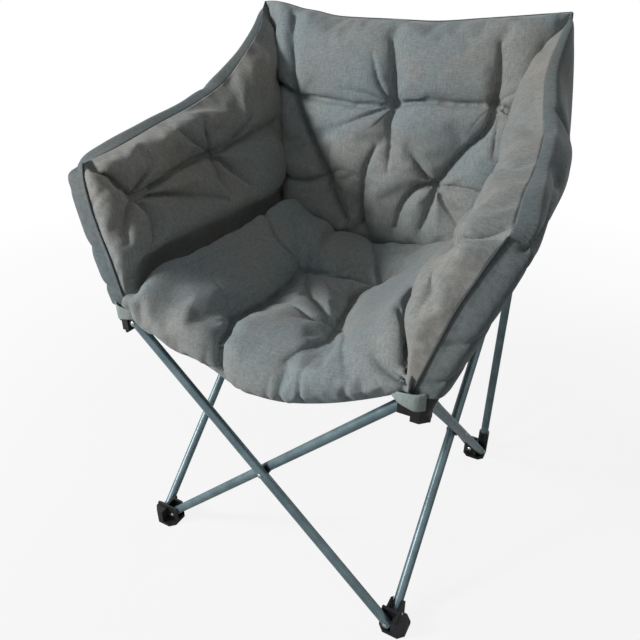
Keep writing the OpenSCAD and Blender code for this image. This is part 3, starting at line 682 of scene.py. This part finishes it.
arm_creases = [
    ([(0.447, 0.675), (0.283, 0.69), (0.18, 0.68), (0.103, 0.67)], 22, 20, 46),
    ([(0.103, 0.67), (0.085, 0.78), (0.06, 0.88), (0.035, 0.97)], 20, 14, 32),
    ([(0.447, 0.675), (0.47, 0.76), (0.506, 0.86)], 24, 8, 38),
    ([(0.447, 0.675), (0.565, 0.68), (0.703, 0.735)], 22, 6, 36),
    ([(0.447, 0.675), (0.628, 0.65), (0.851, 0.61)], 22, 7, 40),
    ([(0.447, 0.675), (0.522, 0.57), (0.615, 0.42)], 23, 7, 38),
    ([(0.447, 0.675), (0.469, 0.56), (0.496, 0.42)], 20, 5, 32),
    ([(0.103, 0.67), (0.21, 0.58), (0.33, 0.5), (0.47, 0.40)], 20, 6, 40),
    ([(0.103, 0.67), (0.14, 0.5), (0.12, 0.33)], 18, 6, 36),
    ([(0.103, 0.67), (0.15, 0.72), (0.22, 0.78)], 18, 6, 30),
    ([(0.103, 0.67), (0.07, 0.56), (0.06, 0.42)], 14, 4, 34),
    ([(0.447, 0.675), (0.41, 0.8), (0.39, 0.92)], 14, 4, 30),
]


def sided(columns, side):
    """Rows of points from columns of points, for the right arm or, mirrored, for the left one."""
    rows = [[(side * x, y, z) for x, y, z in row] for row in zip(*columns)]
    return rows if side < 0 else [row[::-1] for row in rows]


# Seam along the top of each arm, from the front up to the back's corner
top_seam = {
    -1: [(304, -240, 702), (305, -214, 705), (307, -180, 709), (304, -80, 731), (294, 25, 757),
         (279, 80, 782), (269, 135, 825), (270, 190, 864), (274, 225, 885), (277, 249, 899)],
    1: [(322, -236, 697), (322, -214, 704), (319, -180, 713), (314, -80, 736), (301, 25, 760),
        (285, 80, 785), (274, 135, 828), (275, 190, 866), (277, 225, 886), (277, 249, 899)]}


def top_line(side, from_front):
    """The top seam of one arm, from the front or from the back."""
    line = [(side * x, y, z) for x, y, z in top_seam[side]]
    return line if from_front else line[::-1]


def turned(creases):
    """The same creases on the other side of the chair, where the cover's columns run the other way."""
    return [([(1 - u, v) for u, v in places], *rest) for places, *rest in creases]


arm_net, arm_face = {}, {}
for side in (-1, 1):
    net = fine_net(sided([front_seam[side]] + arm_columns, side), FACE_PITCH_MM)
    arm_net[side] = sewn_to(net, top_line(side, from_front=side < 0))
    creases, tufts = set_back(arm_creases, arm_tufts, 24, (0.003, -0.0005))
    if side > 0:
        creases, tufts = turned(creases), [(1 - u, v) for u, v in tufts]
    net = creased(arm_net[side], creases, hem_mm=6)
    net = billow(net, tufts, creases, 13)
    arm_face[side] = wrinkled(denser(net), crisp(creases) + gathers(net, tufts, 31 + side), hem_mm=6)

# Outer shell: columns from the front seam round the outside, rows from the hem to the top seam
shell_front = {
    -1: [(236, -262, 482), (250, -264, 546), (273, -260, 610), (286, -256, 646), (295, -250, 678),
         (300, -245, 692), (304, -240, 702)],
    1: [(240, -263, 482), (260, -262, 545), (282, -257, 610), (301, -252, 653), (312, -246, 678),
        (318, -241, 689), (322, -237, 697)]}
shell_columns = [
    [(276, -259, 487), (297, -257, 546), (323, -250, 612), (340, -243, 656),
     (347, -236, 681), (343, -231, 694), (326, -230, 702)],
    [(282, -234, 487), (305, -229, 550), (328, -225, 614), (344, -221, 660),
     (350, -217, 687), (344, -217, 702), (321, -220, 707)],
    [(272, -170, 484), (300, -168, 552), (328, -168, 625), (345, -168, 675),
     (350, -168, 702), (337, -170, 716), (313, -172, 713)],
    [(268, -80, 473), (300, -80, 552), (330, -80, 640), (347, -80, 695),
     (344, -80, 724), (326, -80, 739), (308, -80, 734)],
    [(266, 20, 466), (298, 20, 555), (330, 20, 648), (344, 20, 708),
     (335, 20, 746), (314, 22, 763), (297, 25, 758)],
    [(265, 130, 456), (294, 130, 560), (320, 130, 640), (322, 130, 730),
     (302, 132, 805), (286, 134, 829), (271, 135, 825)],
    [(265, 215, 446), (288, 215, 560), (312, 215, 655), (306, 218, 770),
     (292, 225, 860), (284, 227, 885), (274, 228, 883)],
    [(262, 266, 442), (270, 266, 560), (278, 266, 670), (280, 266, 780),
     (280, 265, 860), (279, 261, 887), (277, 255, 899)],
]
shell_net = {}
for side in (-1, 1):
    rows = [row[::-1] for row in sided([shell_front[side]] + shell_columns, side)]
    shell_net[side] = sewn_to(fine_net(rows, SHELL_PITCH_MM), top_line(side, from_front=side > 0))

# Soft folds in the stretched cloth, and the stitching inside its hems
shell_folds = [
    ([(0.06, 0.93), (0.2, 0.86), (0.36, 0.88), (0.5, 0.8)], 9, 2, 26),
    ([(0.1, 0.75), (0.24, 0.7), (0.38, 0.6)], 6, 1, 24),
    ([(0.03, 0.35), (0.14, 0.4), (0.3, 0.33)], 5, 1, 26),
    ([(0.62, 0.93), (0.6, 0.7), (0.66, 0.45)], 6, 1, 30),
    ([(0.95, 0.9), (0.84, 0.66), (0.8, 0.4)], 6, 1, 30),
    ([(0.05, 0.12), (0.2, 0.18), (0.4, 0.1)], 5, 1, 22),
]
shell_stitches = [([(0.03, 0.965), (0.5, 0.965), (0.98, 0.965)], 1.6, 1.6, 4),
                  ([(0.022, 0.03), (0.022, 0.5), (0.022, 0.97)], 1.4, 1.4, 4),
                  ([(0.02, 0.03), (0.5, 0.03), (0.98, 0.03)], 1.2, 1.2, 4)]

# Back shell: rows from the hem up to the seam along the back's top edge, in millimetres
back_shell_rows = [
    # half width, height at the sides, y at the sides, then how far its middle bows out and dips
    (262, 442, 268, 2, 0), (270, 560, 268, 4, 0), (278, 670, 268, 5, 0),
    (280, 780, 268, 4, 0), (279, 862, 266, 2, 7), (277, 898, 259, 0, 13)]
back_shell_net = fine_net([[(-share * half, y + bow * (1 - share * share), z - dip * (1 - share * share))
                            for share in (-1, -0.5, 0, 0.5, 1)]
                           for half, z, y, bow, dip in back_shell_rows], BACK_SHELL_PITCH_MM)

# Folds between the uprights, so that they stay clear of uprights and sliders
back_shell_folds = [
    ([(0.14, 0.88), (0.21, 0.79), (0.33, 0.65)], 8, 1, 28),
    ([(0.86, 0.88), (0.79, 0.77), (0.69, 0.6)], 8, 1, 30),
    ([(0.14, 0.12), (0.21, 0.16), (0.37, 0.2)], 7, 1, 22),
    ([(0.86, 0.12), (0.79, 0.16), (0.65, 0.19)], 7, 1, 24),
    ([(0.13, 0.73), (0.18, 0.67), (0.25, 0.57)], 6, 1, 20),
    ([(0.87, 0.28), (0.82, 0.33), (0.73, 0.37)], 6, 1, 20),
    ([(0.5, 0.98), (0.49, 0.85), (0.52, 0.7)], 5, 1, 28),
    ([(0.3, 0.33), (0.5, 0.29), (0.72, 0.34)], 5, 1, 34),
    ([(0.45, 0.05), (0.47, 0.16), (0.44, 0.3)], 6, 1, 26),
]
back_shell_stitches = [([(0.055, 0.01), (0.055, 0.5), (0.055, 0.99)], 1.6, 1.6, 4),
                       ([(0.945, 0.01), (0.945, 0.5), (0.945, 0.99)], 1.6, 1.6, 4),
                       ([(0.01, 0.025), (0.5, 0.025), (0.99, 0.025)], 1.4, 1.4, 4),
                       ([(0.01, 0.977), (0.5, 0.977), (0.99, 0.977)], 1.4, 1.4, 4)]


# Pieces of the cover
CLOTH_MM = 1.2


def follows_arm(piece):
    """Bakes the piece's place into its own points."""
    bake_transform(piece)


def flattens_with_seat(piece, body):
    """Moves with one half of the seat, on a mesh of its own."""
    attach(piece, body)
    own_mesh(piece)


def flattens_with_back(piece):
    """Moves with the back's rear left body, on a mesh of its own."""
    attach(piece, "rear_left")
    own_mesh(piece)


def plain_back(face, deep_mm):
    """The hidden back of a cushion, from every eighth point of its face. It almost meets the face along the
    seams and reaches its full depth at the third point from them."""
    back = face[::8, ::8]
    rows, cols = back.shape[:2]
    ring = np.minimum.outer(np.minimum(np.arange(rows), np.arange(rows)[::-1]),
                            np.minimum(np.arange(cols), np.arange(cols)[::-1]))
    inward = np.interp(ring, (0, 1, 2, 3), (0.06, 0.5, 0.85, 1)) * deep_mm * MM
    return back - normals_of(face)[::8, ::8] * inward[..., None]


def sling_height(share, y, sag_mm):
    """Height of the sling, in mm, at a share of its half width: a sagging arc, flatter towards its ends."""
    edge_z, reach_y = 486, 270
    return edge_z - sag_mm * (1 - share * share) * (1 - 0.15 * (y / reach_y) ** 2)


def seat_under(face):
    """The seat cushion's underside. It follows the sling's arc, stays under the face and turns up behind
    the front hem."""
    half_width, edge_z, sag = 0.2185, 0.487, 0.0738
    least, hem_y, hem_reach, tuck = 0.012, -0.235, 0.02, 0.016
    under = face[::8, ::8].copy()
    x, y = under[..., 0], under[..., 1]
    share = np.clip(x / half_width, -1, 1)
    arc = edge_z - sag * (1 - share * share) * np.clip(1 - 0.15 * (y / 0.27) ** 2, 0, 1)
    hem = np.clip((hem_y - y) / hem_reach, 0, 1)
    under[..., 2] = np.minimum(under[..., 2] - least * (1 - hem), arc)
    under[..., 1] += tuck * hem
    return under


# The seat folds across its middle, y = 0, so its cushion is cut there into two halves
middle = np.abs(seat_face[:, :, 1].mean(axis=1)).argmin()
cut = int(round(middle / 8) * 8)
for word, face in (("front", seat_face[:cut + 1]), ("rear", seat_face[cut:])):
    made = padded_piece(f"seat_cushion_{word}", face, seat_under(face), pad_cloth)
    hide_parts(f"seat_pad_{word}")
    flattens_with_seat(made, f"seat_{word}")

# Sling sheets under the cushion, from the front hem to the rear corners
sling_shares = (-1, -0.9, -0.6, -0.2, 0.2, 0.6, 0.9, 1)
SLING_HALF_MM, SAG_MM, REAR_SAG_MM, REAR_Y = 214, 78, 62, 150
for word, places in (("front", (-236, -200, -120, -40, 0)), ("rear", (2, 60, 120, 165, 198))):
    rows = [[(share * SLING_HALF_MM, y, sling_height(share, y, SAG_MM if y < REAR_Y else REAR_SAG_MM))
             for share in sling_shares] for y in places]
    sling = thick_sheet(f"seat_sling_sheet_{word}", denser(fine_net(rows, 12)), CLOTH_MM, sling_cloth)
    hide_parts(f"seat_sling_{word}")
    flattens_with_seat(sling, f"seat_{word}")

# Webbing bands that hold the seat's front hem and the arm's lower corner on each front hub
for side, word in ((-1, "left"), (1, "right")):
    band = [[(side * x, y, z) for x, y, z in row] for row in (
        [(214, -262, 483), (226, -269, 486), (239, -272, 489), (251, -272, 491), (262, -265, 492)],
        [(214, -262, 478), (226, -270, 478), (239, -273, 479), (251, -273, 480), (262, -265, 481)],
        [(214, -262, 473), (226, -269, 470), (239, -272, 468), (251, -272, 466), (262, -265, 467)])]
    band = band[::-1] if side > 0 else [row[::-1] for row in band[::-1]]
    strap = thick_sheet(f"{word}_hub_webbing", fine_net(band, pitch_mm=3), 1.6, webbing)
    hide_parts(f"{word}_corner_strap")
    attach(strap, f"front_{word}_hub")

# Back cushion, whose plain back stands just in front of the uprights
UPRIGHT_FRONT_Y = 0.2435
back_plain = back_face[::8, ::8].copy()
back_plain[..., 1] = np.maximum(back_plain[..., 1] + 0.004, UPRIGHT_FRONT_Y)
back_cushion = padded_piece("back_cushion", back_face, back_plain, pad_cloth)
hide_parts("back_pad")
flattens_with_back(back_cushion)

# Arms: the pad, its outer shell and the piping in the seam at the front
for side, word in ((-1, "left"), (1, "right")):
    face = arm_face[side]
    pad = padded_piece(f"{word}_arm_cushion", face, plain_back(face, 18), arm_cloth)
    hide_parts(f"{word}_arm_pad")
    follows_arm(pad)

    folds, stitches = shell_folds, shell_stitches
    if side < 0:
        folds, stitches = turned(folds), turned(stitches)
    outer = denser(creased(denser(shell_net[side]), folds))
    shell = thick_sheet(f"{word}_outer_shell", creased(outer, stitches, hem_mm=1), CLOTH_MM, shell_cloth)
    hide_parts(f"{word}_side_panel")
    follows_arm(shell)

    seam = arm_net[side][:, 0 if side < 0 else -1]
    piping = cord_line(f"{word}_front_piping", seam + np.array((0, -0.0012, 0)), 1.7, piping_cloth)
    follows_arm(piping)

# Back shell and the piping along its sides and its top
outer = denser(creased(denser(back_shell_net), back_shell_folds))
back_shell = thick_sheet("back_shell", creased(outer, back_shell_stitches, hem_mm=1), CLOTH_MM,
                         back_shell_cloth)
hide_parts("back_panel")
flattens_with_back(back_shell)

for name, line in (("back_left_piping", back_shell_net[:, -1]), ("back_right_piping", back_shell_net[:, 0]),
                   ("back_top_piping", back_shell_net[-1])):
    piping = cord_line(name, line + np.array((0, 0.0005, 0)), 1.8, piping_cloth)
    flattens_with_back(piping)


# Stage and light
def soft_floor(name):
    """Pale floor that keeps the shadow and is white to the camera, wholly so from 2.2 m away."""
    made, tree, shader = new_material(name, Roughness=0.9, Specular_IOR_Level=0.0)
    shader.inputs["Base Color"].default_value = linear("#c8c8c8")
    rays = add(tree, "ShaderNodeLightPath")
    white = add(tree, "ShaderNodeEmission", inputs={"Color": (1, 1, 1, 1), "Strength": 1.0})
    place = add(tree, "ShaderNodeTexCoord").outputs["Object"]
    away = add(tree, "ShaderNodeVectorMath", {0: place}, operation="LENGTH").outputs["Value"]
    clear = add(tree, "ShaderNodeMapRange", {"Value": away},
                {"From Min": 0.7, "From Max": 2.2, "To Min": 0.86, "To Max": 1.0}).outputs["Result"]
    share = add(tree, "ShaderNodeMath", {0: rays.outputs["Is Camera Ray"], 1: clear}, operation="MULTIPLY")
    both = add(tree, "ShaderNodeMixShader", {"Fac": share.outputs["Value"]})
    tree.links.new(shader.outputs["BSDF"], both.inputs[1])
    tree.links.new(white.outputs["Emission"], both.inputs[2])
    out = next(n for n in tree.nodes if n.type == "OUTPUT_MATERIAL")
    tree.links.new(both.outputs["Shader"], out.inputs["Surface"])
    return made


FLOOR_HALF = 30
floor_corners = [(x * FLOOR_HALF, y * FLOOR_HALF, 0) for x, y in ((-1, -1), (1, -1), (1, 1), (-1, 1))]
floor = mesh_piece("floor", floor_corners, [(0, 1, 2, 3)], soft_floor("pale_floor"))

# The room lights the chair a little and looks white to the camera and in reflections
AMBIENT = 0.12
world = bpy.data.worlds.new("pale_room")
bpy.context.scene.world = world
world.use_nodes = True
tree = world.node_tree
sky = tree.nodes["Background"]
sky.inputs["Color"].default_value = (1, 1, 1, 1)
rays = add(tree, "ShaderNodeLightPath")
seen = add(tree, "ShaderNodeMath", {0: rays.outputs["Is Camera Ray"], 1: rays.outputs["Is Glossy Ray"]},
           operation="MAXIMUM")
seen = add(tree, "ShaderNodeMath", {0: seen.outputs["Value"], 1: rays.outputs["Is Transmission Ray"]},
           operation="MAXIMUM")
level = add(tree, "ShaderNodeMapRange", {"Value": seen.outputs["Value"]}, {"To Min": AMBIENT, "To Max": 1.0})
tree.links.new(level.outputs["Result"], sky.inputs["Strength"])


def soft_lamp(name, place, aim, power, size):
    """A square area lamp that faces the point aim."""
    lamp = bpy.data.objects.new(name, bpy.data.lights.new(name, "AREA"))
    lamp.data.energy = power
    lamp.data.size = size
    lamp.location = place
    way = np.array(aim) - np.array(place)
    lamp.rotation_euler = (math.atan2(math.hypot(way[0], way[1]), -way[2]), 0, math.atan2(-way[0], way[1]))
    bpy.context.scene.collection.objects.link(lamp)


soft_lamp("key", (-2.2, -2.0, 1.85), (0, 0, 0.5), power=90, size=0.6)
soft_lamp("overhead fill", (0.6, -1.6, 3.4), (0, 0, 0.4), power=9, size=2.4)
soft_lamp("back fill", (0.7, 3.0, 1.9), (0, 0.2, 0.6), power=34, size=1.6)
